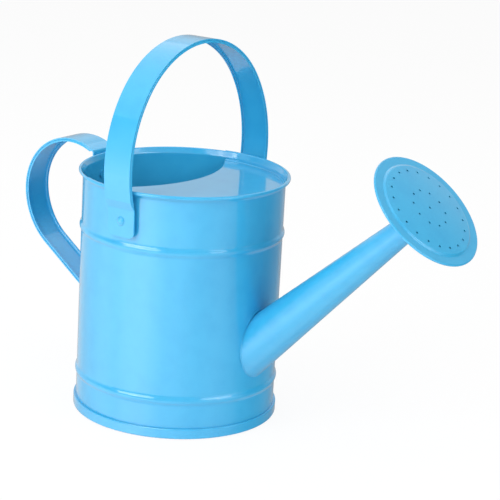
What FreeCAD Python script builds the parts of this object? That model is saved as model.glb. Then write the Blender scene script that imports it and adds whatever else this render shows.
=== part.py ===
"""Painted sheet-steel watering can with a swinging bail, a rear handle and a rose.

Millimetres and degrees. +Z is up and the can stands on Z = 0. The origin is on the can's
axis. +X points along the spout, and the rear handle is on the -X side.
"""

import FreeCAD, Part
import os
from math import acos, asin, atan, cos, degrees, hypot, radians, sin, sqrt, tan

V = FreeCAD.Vector
OUT = "parts"

# ---- sheet and fits -------------------------------------------------------------
body_gauge = 0.5            # steel of the body, base, spout and rose
cover_gauge = 0.4           # steel of the half cover
strap_gauge = 0.9           # steel of both handles
seat_gap = 0.05             # room between pieces that lie on each other

# ---- body -----------------------------------------------------------------------
can_height = 158.0          # floor to the top of the rim
body_radius = 64.9          # outside of the wall
rim_out = 3.1               # how far the finished rim stands out from the wall
rim_curl_radius = 0.85      # outside radius of the wall's curled edge
rim_curl_sweep = 262.0      # how far round the edge is curled
rim_flare = 26.0            # slope of the flare below the curl, from upright
rim_flare_bend = 2.0
bead_width = 7.0            # height of a swaged bead along the wall
bead_rise = 1.1             # how far a bead stands out from the wall
lower_bead_z = 24.6
upper_bead_drop = 37.0      # middle of the upper bead below the top of the rim

# ---- base -----------------------------------------------------------------------
seam_height = 6.6           # height of the folded seam round the foot
seam_fold = 0.8             # outside radius of the fold that the can stands on
floor_height = 4.0          # inside of the floor above the foot
floor_bend = 1.5            # bend between the floor and its upright wall
floor_ring_radius = 44.0    # stiffening ring pressed up in the floor
floor_ring_width = 6.0
floor_ring_rise = 1.0

# ---- half cover -----------------------------------------------------------------
cover_turn = -6.0           # the cover sits turned this much from the spout
cover_flange = 0.6          # straight part of its flange below the rim's flare
cover_bend = 1.2            # bend between the deck and its flange
cover_lip_sweep = 190.0     # how far the cover's lip goes round the curled edge
cover_edge_x = 3.2          # middle of the deck's free edge
cover_edge_radius = 85.4    # curve of the free edge, seen from above
cover_edge_bend = 1.0       # outside bend where the free edge turns down
cover_edge_drop = 3.0       # depth of the turned-down free edge

# ---- spout ----------------------------------------------------------------------
spout_slope = 43.35         # above level
spout_root_z = 57.65        # height of its axis at the wall
spout_root_radius = 15.86   # outside, at the wall
spout_tip_radius = 7.48     # outside, at the tip
spout_length = 146.2        # along the axis, wall to tip
spout_hole_ledge = 1.0      # the wall's hole is this much smaller than the tube's inside

# ---- rose -----------------------------------------------------------------------
rose_tilt = 3.5             # the rose leans back this much from the spout
rose_height = 12.7          # spout tip to the plane of the rose's widest circle
rose_radius = 39.2
rose_neck_length = 4.0
rose_lip_width = 2.0        # lip folded behind the edge
rose_back_bend = 1.0        # bends of the funnel behind the face
rose_border = 7.2           # from the rim in to the raised perforated disc
rose_disc_step = 1.0        # height of the step from the border to the disc
rose_step_slope = 50.0
rose_step_bend = 0.7        # inside bends of the step
rose_dome_radius = 300.0    # curve of the disc
hole_radius = 0.75
outer_hole_margin = 4.4     # from the disc's edge in to the outer circle of holes
outer_hole_count = 20
inner_hole_circle = 12.65
inner_hole_count = 10
hole_phase = 6.5            # first hole of both circles, from level

# ---- strap of both handles ------------------------------------------------------
strap_width = 20.1
strap_edge_depth = 2.5      # depth of the turned edges, gauge included
strap_edge_bend = 1.2       # inside bend of the turned edges
tab_extra = 0.3             # a tab is this much wider than the strap on each side

# ---- bail -----------------------------------------------------------------------
pivot_x = 3.7
pivot_drop = 20.2           # below the top of the rim
bail_lean = 1.2             # the bail rests this far back from upright
bail_stand_off = 1.5        # between the wall and the bail's tabs
bail_rim_room = 4.0         # from the rim to the outside of the arch at its widest
bail_spring_rise = 10.0     # widest point above the top of the rim
bail_rise = 76.2            # top of the arch above its widest point
bail_leg_radius = 91.0      # curve of the legs below the widest point
bail_leg_height = 15.5      # height of the curved part of the legs
bail_leg_run = 1.5          # straight part below the curve
bail_set_in_height = 5.5    # height of the slanted part between leg and tab
bail_set_in_bend = 0.6      # inside bend of the turned edges there
tab_below_pivot = 10.2
tab_corner = 4.5
tab_taper = 2.0             # height over which the tab narrows to the strap

# ---- rear handle ----------------------------------------------------------------
handle_length = 61.7        # outside of the loop from the wall
handle_reach_drop = 32.8    # furthest point of the loop below the top of the rim
handle_rim_rise = 1.6       # outside of the loop above the rim, where it turns down beside it
handle_low_z = 59.5         # where the straight run meets the lower tab
handle_low_slope = 35.3     # straight run to the lower tab, below level
handle_rim_gap = 0.1        # between the curled edge and the strap
handle_top_run = 2.6        # width of the straight part beside the bend at the rim
handle_bend = 1.2
handle_under_rim = 2.2      # the strap stays upright this far below the curled edge
handle_set_in_height = 3.0  # height of the slanted part between rim and upper tab
handle_top_tab = 12.0       # length of the upper tab on the wall
handle_low_tab = 15.0       # length of the lower tab on the wall
handle_tab_corner = 5.0
handle_tab_bend = 1.0       # inside bend between the strap and its tabs
handle_tab_taper = 6.0      # length over which the strap widens to its tabs
handle_fade = 3.0           # length over which the turned edges run out at the rim
handle_rivet_spread = 11.0  # between the two rivets of one tab

# ---- rivets ---------------------------------------------------------------------
rivet_radius = 1.6
rivet_head_radius = 3.0
rivet_head_height = 1.6
rivet_tail_radius = 2.6
rivet_tail_height = 0.9
bail_running_gap = 0.05     # between a rivet and the bail
rivet_hole_gap = 0.02       # between a rivet and the pieces that it holds
spacer_radius = 4.0         # washer between the wall and the bail's tab

# ---- sizes that follow ----------------------------------------------------------
wall_inside = body_radius - body_gauge
lip_room = cover_gauge + seat_gap
curl = (body_radius + rim_out - lip_room - rim_curl_radius, can_height - lip_room - rim_curl_radius)
upper_bead_z = can_height - upper_bead_drop
seat_radius = body_radius + seat_gap
seam_radius = seat_radius + 2 * body_gauge + seat_gap
tab_width = strap_width + 2 * tab_extra
tab_face = body_radius + bail_stand_off
pivot_z = can_height - pivot_drop
bail_half_span = body_radius + rim_out + bail_rim_room
bail_spring_z = can_height + bail_spring_rise
handle_reach = body_radius + handle_length
handle_reach_z = can_height - handle_reach_drop
spout_taper = atan((spout_root_radius - spout_tip_radius) / spout_length)
spout_root = V(body_radius, 0, spout_root_z)
spout_axis = V(cos(radians(spout_slope)), 0, sin(radians(spout_slope)))
rose_edge_radius = (3 * body_gauge + 2 * seat_gap) / 2
rose_disc_radius = rose_radius - rose_border
beyond = 2 * (handle_reach + can_height)   # longer than any piece, for cutting blocks


# ---- outlines in the X-Z plane --------------------------------------------------
def line(a, b):
    """Straight edge between two (x, z) points."""
    return Part.LineSegment(V(a[0], 0, a[1]), V(b[0], 0, b[1])).toShape()


def on_circle(centre, radius, angle):
    """Point of a circle, the angle from +x towards +z."""
    return (centre[0] + radius * cos(radians(angle)), centre[1] + radius * sin(radians(angle)))


def arc(centre, radius, start, end):
    """Arc edge between two angles."""
    points = [on_circle(centre, radius, t) for t in (start, (start + end) / 2, end)]
    return Part.Arc(*[V(p[0], 0, p[1]) for p in points]).toShape()


def rounded_run(points, bend):
    """Edges of a polyline with a bend of one radius at each of its corners."""
    edges = []
    start = points[0]
    for before, corner, after in zip(points, points[1:], points[2:]):
        c = V(corner[0], 0, corner[1])
        back = (V(before[0], 0, before[1]) - c).normalize()
        ahead = (V(after[0], 0, after[1]) - c).normalize()
        half = back.getAngle(ahead) / 2
        first = c + back * (bend / tan(half))
        last = c + ahead * (bend / tan(half))
        middle = c + (back + ahead).normalize() * (bend / sin(half) - bend)
        edges.append(line(start, (first.x, first.z)))
        edges.append(Part.Arc(first, middle, last).toShape())
        start = (last.x, last.z)
    edges.append(line(start, points[-1]))
    return edges


def face_of(edges):
    """Plane face inside a closed run of edges."""
    return Part.Face(Part.Wire(Part.sortEdges(edges)[0]))


def polygon(points):
    """Plane face inside a closed polyline."""
    return face_of([line(a, b) for a, b in zip(points, points[1:] + points[:1])])


def beside(edge, offset):
    """Edge moved to the right of its own direction, an arc about its own centre."""
    span = (edge.FirstParameter, (edge.FirstParameter + edge.LastParameter) / 2, edge.LastParameter)
    start, middle, end = (edge.valueAt(t) for t in span)
    right = V(0, 1, 0).cross(end - start).normalize()
    if not isinstance(edge.Curve, Part.Circle):
        return Part.LineSegment(start + right * offset, end + right * offset).toShape()
    centre = edge.Curve.Center
    inward = offset if (middle - start).dot(right) < 0 else -offset
    scale = 1 - inward / edge.Curve.Radius
    return Part.Arc(*[centre + (p - centre) * scale for p in (start, middle, end)]).toShape()


def band(edges, near, far):
    """Plane face between two offsets to the right of an open run of edges."""
    sides = [[beside(e, offset) for e in edges] for offset in (near, far)]
    first = [side[0].valueAt(side[0].FirstParameter) for side in sides]
    last = [side[-1].valueAt(side[-1].LastParameter) for side in sides]
    ends = [Part.LineSegment(*pair).toShape() for pair in (first, last)]
    return face_of(sides[0] + sides[1] + ends)


# ---- solids ---------------------------------------------------------------------
def turned(face):
    """Solid of revolution of a face about the Z axis."""
    return face.revolve(V(0, 0, 0), V(0, 0, 1), 360)


def pushed(face, width):
    """Face of the X-Z plane extruded along Y, with its middle on the plane."""
    return face.translated(V(0, -width / 2, 0)).extrude(V(0, width, 0))


def upright(radius, x=0.0, z=0.0, height=beyond):
    """Cylinder along Z."""
    return Part.makeCylinder(radius, height, V(x, 0, z))


def across(radius, y, z, start, end):
    """Cylinder along X."""
    return Part.makeCylinder(radius, end - start, V(start, y, z), V(1, 0, 0))


def joined(shapes):
    """Fused solid without the seams between its parts."""
    return shapes[0].fuse(shapes[1:]).removeSplitter()


def swung(shape, angle):
    """Shape turned about the can's axis."""
    return shape.rotated(V(0, 0, 0), V(0, 0, 1), angle)


def export(name, solids):
    """Write one node."""
    shape = solids[0] if len(solids) == 1 else Part.makeCompound(solids)
    shape.exportStep(os.path.join(OUT, name + ".step"))


# ---- body -----------------------------------------------------------------------
def bead_edges(centre_z):
    """Outside of the wall over one bead, upwards: hollow, crown and hollow."""
    turn = 2 * atan(2 * bead_rise / bead_width)
    radius = bead_width / (4 * sin(turn))
    turn = degrees(turn)
    return [arc((body_radius + radius, centre_z - bead_width / 2), radius, 180, 180 - turn),
            arc((body_radius + bead_rise - radius, centre_z), radius, -turn, turn),
            arc((body_radius + radius, centre_z + bead_width / 2), radius, 180 + turn, 180)]


def rim_edges():
    """Outside of the wall over its flare, up to the curled edge, bottom first."""
    curl_start = on_circle(curl, rim_curl_radius - body_gauge, 180 - rim_flare)
    slope = radians(rim_flare)
    flare_z = curl_start[1] - (curl_start[0] - body_radius) / tan(slope)
    bend_start = flare_z - rim_flare_bend * tan(slope / 2)
    run = rounded_run([(body_radius, bend_start - cover_flange), (body_radius, flare_z), curl_start],
                      rim_flare_bend)
    return run


def wall_edges(bottom):
    """Outside of the wall with its two beads, from the foot to the curled edge."""
    edges = []
    z = bottom
    for centre_z in (lower_bead_z, upper_bead_z):
        edges.append(line((body_radius, z), (body_radius, centre_z - bead_width / 2)))
        edges += bead_edges(centre_z)
        z = centre_z + bead_width / 2
    rim = rim_edges()
    return edges + [line((body_radius, z), (body_radius, rim[0].Vertexes[0].Z))] + rim


def wall_core(gap):
    """Everything inside the wall's outside and a gap round it, for cutting what sits on it."""
    outside = [beside(e, gap) for e in wall_edges(0)]
    low = outside[0].valueAt(outside[0].FirstParameter)
    high = outside[-1].valueAt(outside[-1].LastParameter)
    ends = [line((0, p.z), (p.x, p.z)) for p in (low, high)]
    return turned(face_of(outside + ends + [line((0, low.z), (0, high.z))]))


def body_shell():
    """Wall with its beads, flared and curled rim, foot hook, spout hole and rivet holes."""
    fold_z = 2 * body_gauge + 1.5 * seat_gap
    hook_top = seam_height - body_gauge - seat_gap
    path = [line((seat_radius, hook_top), (seat_radius, fold_z)),
            arc((body_radius + seat_gap / 2, fold_z), seat_gap / 2, 360, 180)]
    path += wall_edges(fold_z)
    start = 180 - rim_flare
    path.append(arc(curl, rim_curl_radius - body_gauge, start, start - rim_curl_sweep))
    shell = turned(band(path, 0, -body_gauge))
    spout_hole = spout_cone(body_gauge + spout_hole_ledge, spout_root_reach(), 0)
    return shell.cut([spout_hole] + all_rivet_holes())


# ---- base -----------------------------------------------------------------------
def base_disc():
    """Floor pressed up inside the foot, its edge folded out and up round the wall's hook."""
    chuck = wall_inside - seat_gap
    bend = (chuck - floor_bend, floor_height - floor_bend)
    flank = floor_ring_width / 4
    inner = floor_ring_radius - 2 * flank
    outer = floor_ring_radius + 2 * flank
    ring_top = floor_height + floor_ring_rise
    seam_top = seam_height - body_gauge
    fold = seam_fold - body_gauge
    path = rounded_run([(0, floor_height), (inner, floor_height), (inner + flank, ring_top),
                        (outer - flank, ring_top), (outer, floor_height), (bend[0], floor_height)],
                       2 * body_gauge)
    path += [arc(bend, floor_bend, 90, 0),
             line((chuck, bend[1]), (chuck, seam_fold)),
             arc((chuck + fold, seam_fold), fold, 180, 270),
             line((chuck + fold, body_gauge), (seam_radius - fold, body_gauge)),
             arc((seam_radius - fold, seam_fold), fold, 270, 360),
             line((seam_radius, seam_fold), (seam_radius, seam_top - seat_gap)),
             arc((seam_radius - seat_gap, seam_top - seat_gap), seat_gap, 0, 90),
             line((seam_radius - seat_gap, seam_top), (seat_radius, seam_top))]
    return turned(band(path, 0, body_gauge))


# ---- half cover -----------------------------------------------------------------
def half_cover():
    """Deck with a flange up the wall, a lip over the rim and a turned-down free edge."""
    flange = wall_inside - seat_gap
    rim = [beside(e, -body_gauge - seat_gap) for e in rim_edges()]
    bend = (flange - cover_bend, rim[0].valueAt(rim[0].FirstParameter).z)
    under = bend[1] - cover_bend
    deck_z = under + cover_gauge
    lip = 180 - rim_flare
    path = [line((0, under), (bend[0], under)), arc(bend, cover_bend, -90, 0)] + rim
    path.append(arc(curl, rim_curl_radius + seat_gap, lip, lip - cover_lip_sweep))
    deck = turned(band(path, 0, -cover_gauge))
    edge_top = deck_z - cover_edge_bend
    turned_down = [line((cover_edge_radius, deck_z - cover_edge_drop), (cover_edge_radius, edge_top)),
                   arc((cover_edge_radius + cover_edge_bend, edge_top), cover_edge_bend, 180, 90)]
    edge = turned(band(turned_down, 0, cover_gauge))
    centre_x = cover_edge_x - cover_edge_radius
    edge = edge.translated(V(centre_x, 0, 0)).common(upright(flange - cover_gauge))
    mouth = upright(cover_edge_radius + cover_edge_bend, x=centre_x)
    return swung(joined([deck.cut(mouth), edge]), cover_turn)


# ---- spout ----------------------------------------------------------------------
def spout_root_reach():
    """Length that the tube must run back past the wall so that all of its root meets it."""
    return spout_root_radius / cos(radians(spout_slope))


def spout_cone(inset, before, after):
    """Solid cone along the spout, inset from its outside and run past both of its ends."""
    root_radius = spout_root_radius + before * tan(spout_taper) - inset
    tip_radius = spout_tip_radius - after * tan(spout_taper) - inset
    start = spout_root - spout_axis * before
    return Part.makeCone(root_radius, tip_radius, spout_length + before + after, start, spout_axis)


def spout_tube():
    """Tapered tube whose root is cut to sit on the round wall."""
    reach = spout_root_reach()
    tube = spout_cone(0, reach, 0).cut(spout_cone(body_gauge, 2 * reach, reach))
    return tube.cut(wall_core(seat_gap))


# ---- rose -----------------------------------------------------------------------
def at_spout_tip(shape):
    """Move a shape from the rose's own axis, Z up from the spout's tip, to its place."""
    shape = shape.rotated(V(0, 0, 0), V(0, 1, 0), 90 - spout_slope - rose_tilt)
    return shape.translated(spout_root + spout_axis * spout_length)


def rose_back():
    """Shallow cone with a neck round the spout and a flange inside the face's rolled edge."""
    play = tan(spout_taper) + sin(radians(rose_tilt))
    neck = spout_tip_radius + rose_neck_length * play + seat_gap + body_gauge
    flange = rose_radius - rose_edge_radius
    flange_z = rose_height - body_gauge / 2
    path = rounded_run([(neck, -rose_neck_length), (neck, 0),
                        (flange - rose_lip_width - rose_back_bend, flange_z),
                        (flange, flange_z)], rose_back_bend)
    return at_spout_tip(turned(band(path, 0, -body_gauge)))


def rose_face():
    """Raised perforated disc with a flat border and an edge rolled round the back."""
    border = rose_height + rose_edge_radius
    edge_x = rose_radius - rose_edge_radius
    back = rose_height - rose_edge_radius
    disc_edge = border + rose_disc_step
    centre = (0, disc_edge - sqrt(rose_dome_radius ** 2 - rose_disc_radius ** 2))
    bend = body_gauge + rose_step_bend
    dome_angle = degrees(acos((rose_disc_radius - 2 * bend) / rose_dome_radius))
    dome_end = on_circle(centre, rose_dome_radius, dome_angle)
    brink = (rose_disc_radius, dome_end[1] - 2 * bend / tan(radians(dome_angle)))
    step_foot = (rose_disc_radius + rose_disc_step / tan(radians(rose_step_slope)), border)
    path = [arc(centre, rose_dome_radius, 90, dome_angle)]
    path += rounded_run([dome_end, brink, step_foot, (edge_x, border)], bend)
    path += [arc((edge_x, rose_height), rose_edge_radius, 90, -90),
             line((edge_x, back), (edge_x - rose_lip_width, back))]
    return at_spout_tip(turned(band(path, 0, body_gauge)).cut(rose_drills()))


def rose_drills():
    """Drills for the middle hole and the two circles of holes."""
    drills = [upright(hole_radius, z=rose_height)]
    outer_hole_circle = rose_disc_radius - outer_hole_margin
    for circle, count in ((outer_hole_circle, outer_hole_count), (inner_hole_circle, inner_hole_count)):
        for k in range(count):
            angle = 90 + hole_phase + 360 * k / count
            drills.append(swung(upright(hole_radius, x=circle, z=rose_height), angle))
    return drills


# ---- strap ----------------------------------------------------------------------
def rounded_band(edges, near, width, bend):
    """Band between an offset and the depth of the turned edges, its near long edges rounded."""
    strip = pushed(band(edges, near, strap_edge_depth), width)
    middles = [e.valueAt((e.FirstParameter + e.LastParameter) / 2)
               for e in (beside(edge, near) for edge in edges)]
    sides = [m + V(0, side * width / 2, 0) for m in middles for side in (-1, 1)]
    long_edges = [e for e in strip.Edges
                  if any((e.valueAt((e.FirstParameter + e.LastParameter) / 2) - m).Length < seat_gap
                         for m in sides)]
    return strip.makeFillet(bend, long_edges)


def channel(edges):
    """Strap with both of its long edges turned to the right of its path."""
    outer = rounded_band(edges, 0, strap_width, strap_edge_bend + strap_gauge)
    inner = rounded_band(edges, strap_gauge, strap_width - 2 * strap_gauge, strap_edge_bend)
    return outer.cut(inner)


def fade(tip, along, inward, length):
    """Block that lets the turned edges of a strap run out towards its tip."""
    low = tip + inward * strap_gauge
    high = tip + inward * (strap_edge_depth + strap_gauge)
    back = along * -strap_edge_depth
    points = [low, high + along * length, high + back, low + back]
    return pushed(polygon([(p.x, p.z) for p in points]), tab_width)


def tab_outline(half, corner):
    """Block along +X whose Y-Z outline is given by its +Y half, with rounded lowest corners."""
    other_half = [(-y, z) for y, z in reversed(half)]
    block = pushed(polygon(half + other_half), beyond)
    low = [e for e in block.Edges
           if all(abs(v.Point.z - half[0][1]) < seat_gap for v in e.Vertexes)
           and abs(e.Vertexes[0].Point.y - e.Vertexes[-1].Point.y) > strap_width]
    block = block.makeFillet(corner, low)
    return swung(block.translated(V(0, beyond / 2, 0)), -90)


# ---- bail -----------------------------------------------------------------------
def bail_edges():
    """Outside line of the bail's +X half, from the crown down to the tab's end."""
    half, rise = bail_half_span, bail_rise
    side_radius = rise ** 2 / half
    crown_radius = half * (half + rise) / (2 * rise)
    join = degrees(atan(half * (half + 2 * rise) / (2 * rise * (half + rise))))
    leg = (half - bail_leg_radius, bail_spring_z)
    leg_angle = asin(bail_leg_height / bail_leg_radius)
    leg_end = on_circle(leg, bail_leg_radius, -degrees(leg_angle))
    knee = (leg_end[0] - bail_leg_run * sin(leg_angle), leg_end[1] - bail_leg_run * cos(leg_angle))
    face = tab_face + strap_gauge
    edges = [arc((0, bail_spring_z + rise - crown_radius), crown_radius, 90, join),
             arc((half - side_radius, bail_spring_z), side_radius, join, 0),
             arc(leg, bail_leg_radius, 0, -degrees(leg_angle))]
    return edges + rounded_run([leg_end, knee, (face, knee[1] - bail_set_in_height),
                                (face, pivot_z - tab_below_pivot)],
                               strap_edge_depth + bail_set_in_bend)


def bail_strap():
    """Arched strap with turned edges, flat tabs and a rivet hole in each tab."""
    edges = bail_edges()
    arched, slant = edges[:-2], edges[-3]
    tip, top = slant.valueAt(slant.LastParameter), slant.valueAt(slant.FirstParameter)
    along = (top - tip).normalize()
    arch = channel(arched).cut(fade(tip, along, along.cross(V(0, 1, 0)), bail_set_in_height))
    tab_end = pivot_z - tab_below_pivot
    outline = tab_outline([(tab_width / 2, tab_end), (tab_width / 2, tip.z),
                           (strap_width / 2, tip.z + tab_taper), (strap_width / 2, beyond)],
                          tab_corner)
    ribbon = pushed(band(edges, 0, strap_gauge), tab_width).common(outline)
    hole = across(rivet_radius + bail_running_gap, 0, pivot_z, 0, beyond)
    half = joined([arch, ribbon]).cut(hole)
    strap = joined([half, half.mirror(V(0, 0, 0), V(1, 0, 0))])
    strap = swung(strap, 90).translated(V(pivot_x, 0, 0))
    return strap.rotated(V(pivot_x, 0, pivot_z), V(0, 1, 0), -bail_lean)


# ---- rear handle ----------------------------------------------------------------
def handle_set_in():
    """Where the slanted part below the rim ends: x of the rim side, z of its top and bottom."""
    top_z = curl[1] - rim_curl_radius - handle_under_rim
    return curl[0] + rim_curl_radius + handle_rim_gap, top_z, top_z - handle_set_in_height


def handle_top_edges():
    """Outside line from inside the wall, out under the rim, up beside it and over the bend."""
    rim_x, top_z, low_z = handle_set_in()
    span = handle_reach - rim_x
    rise = can_height + handle_rim_rise - handle_reach_z
    radius = (span ** 2 + rise ** 2) / (2 * span)
    centre = (handle_reach - radius, handle_reach_z)
    angle = degrees(acos((rim_x + handle_top_run - centre[0]) / radius))
    curve = on_circle(centre, radius, angle)
    shoulder = (rim_x, curve[1] + handle_top_run / tan(radians(angle)))
    buried = (2 * seat_radius - rim_x, low_z - handle_set_in_height)
    run = rounded_run([buried, (rim_x, top_z), shoulder, curve], strap_gauge + handle_bend)
    return run + [arc(centre, radius, angle, 0)]


def handle_low_edges():
    """Outside line from the loop's furthest point to the lower tab."""
    slope = radians(handle_low_slope)
    end = (seat_radius + strap_gauge, handle_low_z)
    height, reach = handle_reach_z - end[1], handle_reach - end[0]
    radius = (height * cos(slope) - reach * sin(slope)) / (1 - sin(slope))
    centre = (handle_reach - radius, handle_reach_z)
    curve = arc(centre, radius, 0, handle_low_slope - 90)
    return [curve, line(on_circle(centre, radius, handle_low_slope - 90), end)]


def handle_tab(top_z, length):
    """Tab curved to the wall, below a height."""
    outline = tab_outline([(tab_width / 2, top_z - length), (tab_width / 2, top_z)],
                          handle_tab_corner)
    return upright(seat_radius + strap_gauge).cut(upright(seat_radius)).common(outline)


def tab_bend_edges(handle):
    """Edges where the loop's strap leaves the outside of its tabs."""
    outside = seat_radius + strap_gauge
    return [e for e in handle.Edges if isinstance(e.Curve, Part.Ellipse)
            and all(abs(hypot(v.X, v.Y) - outside) < seat_gap for v in e.Vertexes)
            and any(abs(v.Y) < seat_gap for v in e.Vertexes)]


def handle_outline():
    """Block along Z that widens the strap towards its tabs."""
    start = handle_set_in()[0] + strap_gauge
    half = [(0, tab_width / 2), (start, tab_width / 2),
            (start + handle_tab_taper, strap_width / 2), (beyond, strap_width / 2)]
    other_half = [(x, -y) for x, y in reversed(half)]
    block = pushed(polygon(half + other_half), beyond)
    return block.rotated(V(0, 0, 0), V(1, 0, 0), 90)


def rear_handle():
    """Strap loop with turned edges, set in under the rim and held by two curved tabs."""
    top, low = handle_top_edges(), handle_low_edges()
    free = top[-2:] + low
    first, last = free[0], free[-1]
    top_tip, low_tip = first.valueAt(first.FirstParameter), last.valueAt(last.LastParameter)
    into_top = (first.valueAt(first.LastParameter) - top_tip).normalize()
    into_low = (last.valueAt(last.FirstParameter) - low_tip).normalize()
    loop = channel(free).cut([fade(top_tip, into_top, V(0, 1, 0).cross(into_top), handle_fade),
                              fade(low_tip, into_low, into_low.cross(V(0, 1, 0)), 2 * handle_fade)])
    buried = low_tip - into_low * (2 * strap_gauge)
    inner_run = line((low_tip.x, low_tip.z), (buried.x, buried.z))
    ribbon = pushed(band(top + low + [inner_run], 0, strap_gauge), tab_width)
    ribbon = ribbon.common(handle_outline()).cut(upright(seat_radius))
    tabs = [handle_tab(handle_set_in()[2], handle_top_tab), handle_tab(handle_low_z, handle_low_tab)]
    handle = joined([ribbon, loop] + tabs)
    handle = handle.makeFillet(handle_tab_bend, tab_bend_edges(handle))
    return swung(handle, 180).cut(handle_rivet_holes())


# ---- rivets ---------------------------------------------------------------------
def bail_rivet_places():
    """Each bail rivet: its shift beside the +X direction, its height and its direction."""
    return [(pivot_x, pivot_z, -90), (-pivot_x, pivot_z, 90)]


def handle_rivet_places():
    """Each rear handle rivet: its shift beside the +X direction, its height and its direction."""
    aside = degrees(asin(handle_rivet_spread / 2 / body_radius))
    heights = (handle_set_in()[2] - handle_top_tab / 2, handle_low_z - handle_low_tab / 2)
    return [(0, z, 180 + side * aside) for z in heights for side in (-1, 1)]


def rivet_hole(place):
    """Drill for one rivet through all that it holds."""
    shift, z, direction = place
    drill = across(rivet_radius + rivet_hole_gap, shift, z, body_radius / 2, tab_face + strap_edge_depth)
    return swung(drill, direction)


def handle_rivet_holes():
    """Drills for the rear handle's rivets."""
    return [rivet_hole(place) for place in handle_rivet_places()]


def all_rivet_holes():
    """Drills for every rivet."""
    return [rivet_hole(place) for place in bail_rivet_places()] + handle_rivet_holes()


def rivet(place, under_head):
    """Domed rivet with its tail formed against the inside of the wall."""
    shift, z, direction = place
    reach = abs(shift) + rivet_tail_radius
    tail = sqrt(wall_inside ** 2 - reach ** 2) - rivet_tail_height
    cap_radius = (rivet_head_radius ** 2 + rivet_head_height ** 2) / (2 * rivet_head_height)
    top = under_head + rivet_head_height
    cap = (0, top - cap_radius)
    rim_angle = degrees(acos(rivet_head_radius / cap_radius))
    profile = face_of([line((0, tail), (rivet_radius, tail)),
                       line((rivet_radius, tail), (rivet_radius, under_head)),
                       line((rivet_radius, under_head), (rivet_head_radius, under_head)),
                       arc(cap, cap_radius, rim_angle, 90),
                       line((0, top), (0, tail))])
    pin = turned(profile).rotated(V(0, 0, 0), V(0, 1, 0), 90).translated(V(0, shift, z))
    tail_head = across(rivet_tail_radius, shift, z, tail, wall_inside)
    tail_head = tail_head.common(upright(wall_inside - seat_gap))
    return swung(joined([pin, tail_head]), direction)


def spacer(place):
    """Washer between the wall and a tab of the bail, its back shaped to the wall."""
    shift, z, direction = place
    washer = across(spacer_radius, shift, z, body_radius / 2, tab_face - seat_gap)
    return swung(washer.cut(upright(seat_radius)), direction).cut(rivet_hole(place))


# ---- nodes ----------------------------------------------------------------------
def main():
    """Build and write every node."""
    os.makedirs(OUT, exist_ok=True)
    bail_head = tab_face + strap_gauge + seat_gap
    handle_head = seat_radius + strap_gauge + seat_gap
    export("body_shell", [body_shell()])
    export("base_disc", [base_disc()])
    export("half_cover", [half_cover()])
    export("spout_tube", [spout_tube()])
    export("rose_back", [rose_back()])
    export("rose_face", [rose_face()])
    export("bail_strap", [bail_strap()])
    export("bail_rivets", [rivet(place, bail_head) for place in bail_rivet_places()])
    export("bail_spacers", [spacer(place) for place in bail_rivet_places()])
    export("rear_handle", [rear_handle()])
    export("rear_handle_rivets", [rivet(place, handle_head) for place in handle_rivet_places()])


main()
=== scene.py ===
"""Painted sheet-steel watering can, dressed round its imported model.

Every length is in metres and every angle in degrees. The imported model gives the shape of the
can: this file paints it, adds the solder at the spout's two joints, and sets up the studio.
"""

import logging
import math
from dataclasses import dataclass, field
from enum import Enum

import bpy
from mathutils import Euler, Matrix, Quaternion, Vector


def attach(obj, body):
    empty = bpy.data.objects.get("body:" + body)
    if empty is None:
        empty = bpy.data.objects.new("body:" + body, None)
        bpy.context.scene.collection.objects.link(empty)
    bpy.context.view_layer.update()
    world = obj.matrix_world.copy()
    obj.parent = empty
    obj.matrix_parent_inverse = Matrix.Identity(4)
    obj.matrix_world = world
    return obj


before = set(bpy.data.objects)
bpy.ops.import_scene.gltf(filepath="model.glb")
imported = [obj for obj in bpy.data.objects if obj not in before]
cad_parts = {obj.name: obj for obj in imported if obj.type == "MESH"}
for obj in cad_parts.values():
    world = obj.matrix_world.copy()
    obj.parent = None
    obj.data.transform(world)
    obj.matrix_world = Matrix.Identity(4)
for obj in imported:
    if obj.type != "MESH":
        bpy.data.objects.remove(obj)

MM = 0.001
# azimuth of the side that the camera sees, counterclockwise from -Y
FRONT = 35.406
LOG = logging.getLogger("watering_can")


class Body(Enum):
    """Names of the can's material slots."""

    CAN = "can"
    BAIL = "bail"


class Slot(Enum):
    """The material slots of the record."""

    BODY = "enamel_body"
    COVER = "enamel_cover"
    SPOUT = "enamel_spout"
    STRAP = "enamel_strap"


def linear(hex_colour: str) -> tuple[float, float, float, float]:
    """Turn an sRGB hex colour into linear RGBA.

    Args:
        hex_colour: six hex digits, such as "3FA9E6".

    Returns:
        Linear red, green, blue and an alpha of 1.
    """
    channels = [int(hex_colour[i:i + 2], 16) / 255 for i in (0, 2, 4)]
    values = [c / 12.92 if c <= 0.04045 else ((c + 0.055) / 1.055) ** 2.4 for c in channels]
    return (*values, 1.0)


def grey(level: float) -> tuple[float, float, float, float]:
    """Give a neutral linear colour of one level."""
    return (level, level, level, 1.0)


def add_node(tree: bpy.types.NodeTree, kind: str, settings: dict | None = None,
             links: dict | None = None) -> bpy.types.Node:
    """Add one shader node with its settings and incoming links.

    Args:
        tree: the node tree that gets it.
        kind: the node's type name without "ShaderNode".
        settings: attribute, input name or input number to value.
        links: input name or number to the output socket that feeds it.

    Returns:
        The new node.
    """
    node = tree.nodes.new("ShaderNode" + kind)
    for name, value in (settings or {}).items():
        if isinstance(name, int) or name in node.inputs:
            node.inputs[name].default_value = value
        else:
            setattr(node, name, value)
    for name, socket in (links or {}).items():
        tree.links.new(socket, node.inputs[name])
    return node


def new_tree(owner: bpy.types.Material | bpy.types.World) -> bpy.types.NodeTree:
    """Turn nodes on for a material or a world.

    Args:
        owner: the material or world.

    Returns:
        Its emptied node tree.
    """
    owner.use_nodes = True
    owner.node_tree.nodes.clear()
    return owner.node_tree


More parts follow.
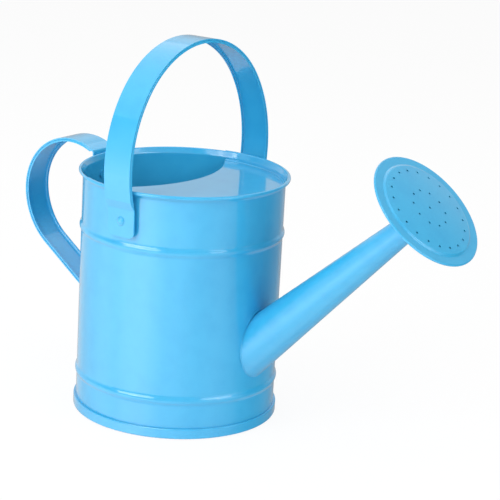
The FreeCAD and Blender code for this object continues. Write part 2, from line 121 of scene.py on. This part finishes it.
def aim(azimuth: float, elevation: float) -> Quaternion:
    """Turn that points an object's -Z from a place on the sky down to the middle.

    Args:
        azimuth: of that place, counterclockwise from -Y.
        elevation: of that place above level.

    Returns:
        The rotation, whose Z axis points out to the place.
    """
    return Euler((math.radians(90 - elevation), 0, math.radians(azimuth))).to_quaternion()


# ---- finishes --------------------------------------------------------------------
@dataclass(frozen=True)
class BakedEnamel:
    """Alkyd enamel sprayed on steel and baked.

    To the eye it is a clean sky blue under a hard clear gloss. The gloss mirrors the studio
    sharply, with the faint orange peel that spraying leaves, the slow ripples of the sheet
    under it, and a slightly deeper blue where the paint ran thick.
    """

    name: str
    colour: str = "38AFE0"
    thick_colour: str = "33AADD"
    # flow marks of a sprayed coat are 6 to 15 mm across
    flow_size: float = 11 * MM
    # orange peel of a thin baked coat is 1 to 2 mm across
    peel_size: float = 1.6 * MM
    peel_height: float = 0.003 * MM
    ripple_size: float = 38 * MM
    ripple_height: float = 0.02 * MM
    # levels of the flow noise between which the coat goes from thin to thick
    thin_level: float = 0.42
    thick_level: float = 0.72
    ior: float = 1.5
    roughness: float = 0.30
    body_gloss: float = 0.3
    gloss_roughness: float = 0.07

    def material(self) -> bpy.types.Material:
        """Build the material.

        Returns:
            A node material on Object coordinates.
        """
        made = bpy.data.materials.new(self.name)
        tree = new_tree(made)
        place = add_node(tree, "TexCoord").outputs["Object"]
        flow = add_node(tree, "TexNoise", {"Scale": 1 / self.flow_size, "Detail": 3.0},
                        {"Vector": place})
        thick = add_node(tree, "MapRange",
                         {"From Min": self.thin_level, "From Max": self.thick_level},
                         {"Value": flow.outputs["Fac"]})
        blue = add_node(tree, "Mix", {"data_type": "RGBA", 6: linear(self.colour),
                                      7: linear(self.thick_colour)},
                        {"Factor": thick.outputs["Result"]})
        ripple = add_node(tree, "TexNoise", {"Scale": 1 / self.ripple_size, "Detail": 0.0},
                          {"Vector": place})
        sheet = add_node(tree, "Bump", {"Strength": 1.0, "Distance": self.ripple_height},
                         {"Height": ripple.outputs["Fac"]})
        peel = add_node(tree, "TexNoise", {"Scale": 1 / self.peel_size, "Detail": 1.0},
                        {"Vector": place})
        skin = add_node(tree, "Bump", {"Strength": 1.0, "Distance": self.peel_height},
                        {"Height": peel.outputs["Fac"], "Normal": sheet.outputs["Normal"]})
        enamel = add_node(tree, "BsdfPrincipled",
                          {"Roughness": self.roughness, "IOR": self.ior,
                           "Specular IOR Level": self.body_gloss, "Coat Weight": 1.0,
                           "Coat Roughness": self.gloss_roughness, "Coat IOR": self.ior},
                          {"Base Color": blue.outputs[2], "Normal": skin.outputs["Normal"],
                           "Coat Normal": skin.outputs["Normal"]})
        add_node(tree, "OutputMaterial", links={"Surface": enamel.outputs["BSDF"]})
        return made


@dataclass(frozen=True)
class CoatedPaper:
    """Matt white paper roll: a pale ground that keeps a soft shadow."""

    name: str = "white_paper_sweep"
    colour: str = "FDFDFD"
    # share of plain white that only the camera sees, so that the ground meets the background
    white: float = 0.9

    def material(self) -> bpy.types.Material:
        """Build the material.

        Returns:
            A diffuse material with a share of plain white for the camera.
        """
        made = bpy.data.materials.new(self.name)
        tree = new_tree(made)
        path = add_node(tree, "LightPath")
        share = add_node(tree, "Math", {"operation": "MULTIPLY", 1: self.white},
                         {0: path.outputs["Is Camera Ray"]})
        paper = add_node(tree, "BsdfDiffuse", {"Color": linear(self.colour)})
        white = add_node(tree, "Emission", {"Color": grey(1.0), "Strength": 1.0})
        mix = add_node(tree, "MixShader", links={0: share.outputs[0], 1: paper.outputs[0],
                                                 2: white.outputs[0]})
        add_node(tree, "OutputMaterial", links={"Surface": mix.outputs[0]})
        return made


# ---- the can ---------------------------------------------------------------------
@dataclass
class SubAssembly:
    """Some nodes of the can that share one finish."""

    nodes: tuple[str, ...]
    slot: Slot
    body: Body
    finish: BakedEnamel

    def dress(self) -> bpy.types.Material:
        """Paint the nodes.

        Returns:
            The material, for the pieces that are added.
        """
        paint = self.finish.material()
        for name in self.nodes:
            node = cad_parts[name]
            for holder in node.material_slots:
                holder.material = paint
            LOG.info("%s painted with %s", name, paint.name)
        return paint

    def add(self, piece: bpy.types.Object, paint: bpy.types.Material) -> None:
        """Give a new piece its paint and its body.

        Args:
            piece: the finished mesh object.
            paint: the sub-assembly's material.
        """
        piece.data.materials.clear()
        piece.data.materials.append(paint)
        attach(piece, self.body.value)
        LOG.info("%s added, %d faces", piece.name, len(piece.data.polygons))

    def build(self) -> None:
        """Paint the nodes and add the pieces."""
        self.dress()


def start_clean() -> None:
    """Deselect everything."""
    if bpy.context.object and bpy.context.object.mode != "OBJECT":
        bpy.ops.object.mode_set(mode="OBJECT")
    bpy.ops.object.select_all(action="DESELECT")


def apply_modifier(piece: bpy.types.Object, kind: str, **settings: object) -> None:
    """Add a modifier to a piece and apply it.

    Args:
        piece: the active mesh object.
        kind: the modifier's type.
        settings: its settings by name.
    """
    modifier = piece.modifiers.new(kind.lower(), kind)
    for name, value in settings.items():
        setattr(modifier, name, value)
    bpy.ops.object.modifier_apply(modifier=modifier.name)


def finish_mesh(piece: bpy.types.Object, merge: float = 0.001 * MM, crease: float = 50) -> None:
    """Put a piece's place into its mesh and shade it smoothly.

    Args:
        piece: the active mesh object.
        merge: vertices closer than this become one.
        crease: edges sharper than this angle stay sharp.
    """
    bpy.ops.object.transform_apply(location=True, rotation=True, scale=True)
    bpy.ops.object.mode_set(mode="EDIT")
    bpy.ops.mesh.select_all(action="SELECT")
    bpy.ops.mesh.remove_doubles(threshold=merge)
    bpy.ops.mesh.normals_make_consistent(inside=False)
    bpy.ops.object.mode_set(mode="OBJECT")
    bpy.ops.object.shade_smooth_by_angle(angle=math.radians(crease))


@dataclass
class Spout(SubAssembly):
    """The tapered tube and its rose, with the solder that joins them."""

    nodes: tuple[str, ...] = ("spout_tube", "rose_back", "rose_face")
    slot: Slot = Slot.SPOUT
    body: Body = Body.CAN
    finish: BakedEnamel = BakedEnamel("sprayed_enamel_on_spout", ripple_size=30 * MM,
                                      peel_height=0.005 * MM, gloss_roughness=0.26)
    slope: float = 43.35
    root: Vector = field(default_factory=lambda: Vector((64.9, 0, 57.65)) * MM)
    root_radius: float = 15.86 * MM
    tip_radius: float = 7.48 * MM
    length: float = 146.2 * MM
    rose_tilt: float = 3.5
    neck_length: float = 4.0 * MM
    # solder stands under 1 mm up the tube and out on the wall
    root_fillet: float = 0.6 * MM
    root_skin: float = 0.4 * MM
    root_segments: int = 144
    root_loops: int = 6
    # the fillet's curve stops short of running along the tube, where its slope has no end
    root_steepest: float = 0.98
    neck_fillet: float = 0.7 * MM
    neck_out: float = 0.45 * MM
    neck_down: float = 0.2 * MM
    # the bead runs thin down the tube: its lower half is stretched and drawn in by these shares
    neck_stretch: float = 0.9
    neck_drawn_in: float = 0.35
    neck_segments: tuple[int, int] = (96, 20)

    def build(self) -> None:
        """Paint the tube and the rose and solder both joints."""
        paint = self.dress()
        self.add(self.root_solder(), paint)
        self.add(self.neck_solder(), paint)

    def axis(self) -> Vector:
        """Give the direction of the tube."""
        return Vector((math.cos(math.radians(self.slope)), 0, math.sin(math.radians(self.slope))))

    def root_solder(self) -> bpy.types.Object:
        """Model the hollow fillet of solder round the tube's root.

        A flat ring round the tube is laid on the wall, and its inner loops are then drawn up
        the tube.

        Returns:
            The finished piece.
        """
        start_clean()
        axis = self.axis()
        away = self.root + axis * (2 * self.root_radius)
        turn = (0, math.radians(90 - self.slope), 0)
        outer = self.root_radius + self.root_fillet
        bpy.ops.mesh.primitive_circle_add(vertices=self.root_segments, radius=outer,
                                          location=away, rotation=turn)
        piece = bpy.context.object
        piece.name = "root_solder"
        bpy.ops.object.mode_set(mode="EDIT")
        bpy.ops.mesh.select_all(action="SELECT")
        radius = outer
        # the last loop lies inside the tube
        for loop in range(1, self.root_loops + 2):
            inner = outer - self.root_fillet * loop / self.root_loops
            bpy.ops.mesh.extrude_region_move()
            bpy.ops.transform.resize(value=(inner / radius,) * 3, center_override=away)
            radius = inner
        bpy.ops.object.mode_set(mode="OBJECT")
        apply_modifier(piece, "SHRINKWRAP", target=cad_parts["body_shell"],
                       wrap_method="PROJECT", use_project_z=True, use_positive_direction=False,
                       use_negative_direction=True)
        bpy.ops.object.transform_apply(location=True, rotation=True, scale=True)
        self.draw_up(piece, axis)
        apply_modifier(piece, "SOLIDIFY", thickness=self.root_skin, offset=-1)
        finish_mesh(piece)
        return piece

    def draw_up(self, piece: bpy.types.Object, axis: Vector) -> None:
        """Draw the loops of the ring up the tube to a hollow fillet.

        Args:
            piece: the ring as it lies on the wall, its place in its mesh.
            axis: the direction of the tube.
        """
        taper = (self.root_radius - self.tip_radius) / self.length
        for point in piece.data.vertices:
            out = point.co - self.root
            along = out.dot(axis)
            tube = self.root_radius - along * taper
            ratio = max(0.0, min(1.0, 1 - ((out - axis * along).length - tube) / self.root_fillet))
            rise = self.root_fillet * (1 - math.sqrt(1 - ratio * ratio * self.root_steepest))
            point.co += axis * rise

    def neck_solder(self) -> bpy.types.Object:
        """Model the bead of solder where the rose's neck ends on the tube.

        Returns:
            The finished piece.
        """
        start_clean()
        tip = self.root + self.axis() * self.length
        tilt = math.radians(90 - self.slope - self.rose_tilt)
        rose_axis = Vector((math.sin(tilt), 0, math.cos(tilt)))
        middle = tip - rose_axis * (self.neck_length + self.neck_down)
        bpy.ops.mesh.primitive_torus_add(location=middle, rotation=(0, tilt, 0),
                                         major_radius=self.tip_radius + self.neck_out,
                                         minor_radius=self.neck_fillet,
                                         major_segments=self.neck_segments[0],
                                         minor_segments=self.neck_segments[1])
        piece = bpy.context.object
        piece.name = "neck_solder"
        bpy.ops.object.transform_apply(location=True, rotation=True, scale=True)
        for point in piece.data.vertices:
            out = point.co - middle
            down = -out.dot(rose_axis)
            if down > 0:
                flat = out + rose_axis * down
                point.co -= rose_axis * down * self.neck_stretch
                point.co -= flat.normalized() * down * self.neck_drawn_in
        finish_mesh(piece)
        return piece


# ---- studio ----------------------------------------------------------------------
@dataclass
class Camera:
    """The viewpoint: a long lens, a little above the rim."""

    target: Vector = field(default_factory=lambda: Vector((0.0362, 0.0257, 0.1075)))
    distance: float = 1.31476
    elevation: float = 16.04
    roll: float = 3.205
    # focal length and sensor width in millimetres
    lens: float = 146.58
    sensor: float = 36

    def build(self) -> None:
        """Add the camera and make it the scene's own."""
        data = bpy.data.cameras.new("camera")
        data.lens = self.lens
        data.sensor_width = self.sensor
        camera = bpy.data.objects.new("camera", data)
        bpy.context.collection.objects.link(camera)
        turn = aim(FRONT, self.elevation)
        camera.location = self.target + turn @ Vector((0, 0, self.distance))
        camera.rotation_mode = "QUATERNION"
        camera.rotation_quaternion = turn @ Quaternion((0, 0, 1), math.radians(self.roll))
        bpy.context.scene.camera = camera
        LOG.info("camera set")


@dataclass(frozen=True)
class Softbox:
    """One lamp behind a diffuser, aimed at the can.

    Its azimuth counts from the camera's, counterclockwise, and its width and height are the
    angles that it fills as seen from the can.
    """

    name: str
    azimuth: float
    elevation: float
    width: float
    height: float
    radiance: float
    distance: float = 1.2
    middle: tuple[float, float, float] = (0.02, 0, 0.1)

    def side(self, angle: float) -> float:
        """Give the length that fills an angle at the lamp's distance."""
        return 2 * self.distance * math.tan(math.radians(angle / 2))

    def build(self) -> None:
        """Add the lamp."""
        data = bpy.data.lights.new(self.name, "AREA")
        data.shape = "RECTANGLE"
        data.size = self.side(self.width)
        data.size_y = self.side(self.height)
        data.energy = self.radiance * data.size * data.size_y * math.pi
        lamp = bpy.data.objects.new(self.name, data)
        bpy.context.collection.objects.link(lamp)
        turn = aim(FRONT + self.azimuth, self.elevation)
        lamp.rotation_euler = turn.to_euler()
        lamp.location = Vector(self.middle) + turn @ Vector((0, 0, self.distance))
        lamp.visible_camera = False
        LOG.info("%s lamp set", self.name)


@dataclass(frozen=True)
class Ring:
    """One level of the studio's soft surroundings."""

    # sine of its elevation, and the Z of a direction in the world
    height: float
    # brightness at equal steps all round, from behind the can counterclockwise
    levels: tuple[float, ...]


@dataclass
class Studio:
    """Pale floor, white background and the soft surroundings that the paint mirrors."""

    floor_size: float = 12
    # a little under the can's foot
    floor_height: float = -0.3 * MM
    rings: tuple[Ring, ...] = (
        Ring(-0.75, (0.25, 1.55, 1.50, 0.75)),
        Ring(-0.27, (0.35, 0.60, 0.79, 0.76, 0.72, 0.92, 1.13, 1.71, 2.10, 2.21,
                     2.93, 3.29, 3.35, 2.66, 1.96, 1.85, 1.52, 1.18, 1.16, 1.14,
                     0.82, 0.49, 0.00, 0.00, 0.00, 0.08, 0.21, 0.22, 0.40, 0.40)),
        Ring(0.1, (0.45, 0.70, 1.01, 1.02, 1.15, 0.70, 0.30, 0.25, 0.50, 0.30,
                   1.49, 2.06, 0.00, 0.00, 0.57, 0.87)),
        Ring(0.4, (0.88, 0.85, 0.55, 0.20, 0.00, 0.20, 1.00, 1.00, 1.30, 0.00,
                   0.20, 0.85)),
        Ring(0.7, (0.60, 0.60, 0.50, 0.30, 0.40, 0.20, 0.60, 0.45)),
        Ring(1.0, (0.80,)),
    )
    softboxes: tuple[Softbox, ...] = (
        Softbox("key_left_low", -56, 26, 20, 20, 5.40),
        Softbox("key_right_low", -36, 26, 20, 20, 4.80),
        Softbox("key_left_high", -56, 42, 20, 14, 2.60),
        Softbox("key_right_high", -36, 42, 20, 14, 2.60),
        Softbox("fill_left", 45, 28, 17, 18, 3.00),
        Softbox("fill_right", 62, 28, 17, 18, 3.00),
        Softbox("side", -95, 45, 40, 30, 0.60),
        Softbox("back", 180, 50, 60, 30, 0.65),
        Softbox("top", -10, 74, 50, 26, 0.80),
    )

    def build(self) -> None:
        """Add the floor, the lamps and the world."""
        self.floor()
        for box in self.softboxes:
            box.build()
        self.world()

    def floor(self) -> None:
        """Add the pale floor."""
        start_clean()
        bpy.ops.mesh.primitive_plane_add(size=self.floor_size, location=(0, 0, self.floor_height))
        floor = bpy.context.object
        floor.name = "floor"
        floor.data.materials.append(CoatedPaper().material())
        floor.visible_glossy = False

    def ring_colour(self, tree: bpy.types.NodeTree, around: bpy.types.NodeSocket,
                    ring: Ring) -> bpy.types.NodeSocket:
        """Add the brightness of one ring by direction.

        Args:
            tree: the world's node tree.
            around: direction round the can, 0 to 1 from behind it counterclockwise.
            ring: the ring.

        Returns:
            The socket of its colour.
        """
        ramp = add_node(tree, "ValToRGB", links={"Fac": around})
        points = ramp.color_ramp.elements
        levels = ring.levels + ring.levels[:1]
        while len(points) < len(levels):
            points.new(0.5)
        for step, (point, level) in enumerate(zip(points, levels)):
            point.position = step / (len(levels) - 1)
            point.color = grey(level)
        return ramp.outputs["Color"]

    def world(self) -> None:
        """Set the surroundings: rings of soft light, and white for the camera."""
        world = bpy.data.worlds.new("studio")
        bpy.context.scene.world = world
        tree = new_tree(world)
        place = add_node(tree, "TexCoord").outputs["Generated"]
        turned = add_node(tree, "Mapping", {"Rotation": (0, 0, math.radians(90 - FRONT))},
                          {"Vector": place})
        around = add_node(tree, "TexGradient", {"gradient_type": "RADIAL"},
                          {"Vector": turned.outputs["Vector"]}).outputs["Fac"]
        height = add_node(tree, "SeparateXYZ", links={"Vector": place}).outputs["Z"]
        colour = self.ring_colour(tree, around, self.rings[0])
        for below, above in zip(self.rings, self.rings[1:]):
            share = add_node(tree, "MapRange", {"From Min": below.height, "From Max": above.height},
                             {"Value": height})
            mix = add_node(tree, "Mix", {"data_type": "RGBA"},
                           {"Factor": share.outputs["Result"], 6: colour,
                            7: self.ring_colour(tree, around, above)})
            colour = mix.outputs[2]
        path = add_node(tree, "LightPath")
        seen = add_node(tree, "Math", {"operation": "MAXIMUM"},
                        {0: path.outputs["Is Camera Ray"], 1: path.outputs["Is Transmission Ray"]})
        white = add_node(tree, "Mix", {"data_type": "RGBA", 7: grey(1.0)},
                         {"Factor": seen.outputs[0], 6: colour})
        back = add_node(tree, "Background", {"Strength": 1.0}, {"Color": white.outputs[2]})
        add_node(tree, "OutputWorld", links={"Surface": back.outputs["Background"]})
        LOG.info("studio set")


def main() -> None:
    """Build the can and its studio."""
    logging.basicConfig(level=logging.INFO, format="%(message)s")
    bpy.context.scene.view_settings.view_transform = "Standard"
    Camera().build()
    parts = (
        SubAssembly(("body_shell", "base_disc"), Slot.BODY, Body.CAN,
                    BakedEnamel("sprayed_enamel_on_rolled_sheet")),
        SubAssembly(("half_cover",), Slot.COVER, Body.CAN,
                    BakedEnamel("sprayed_enamel_on_pressed_sheet", ripple_size=24 * MM,
                                body_gloss=0.2)),
        Spout(),
        SubAssembly(("rear_handle", "rear_handle_rivets"), Slot.STRAP, Body.CAN,
                    BakedEnamel("sprayed_enamel_on_fixed_strap")),
        SubAssembly(("bail_strap", "bail_rivets", "bail_spacers"), Slot.STRAP, Body.BAIL,
                    BakedEnamel("sprayed_enamel_on_bail_strap")),
    )
    for part in parts:
        part.build()
    Studio().build()


if __name__ == "__main__":
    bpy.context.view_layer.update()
    main()
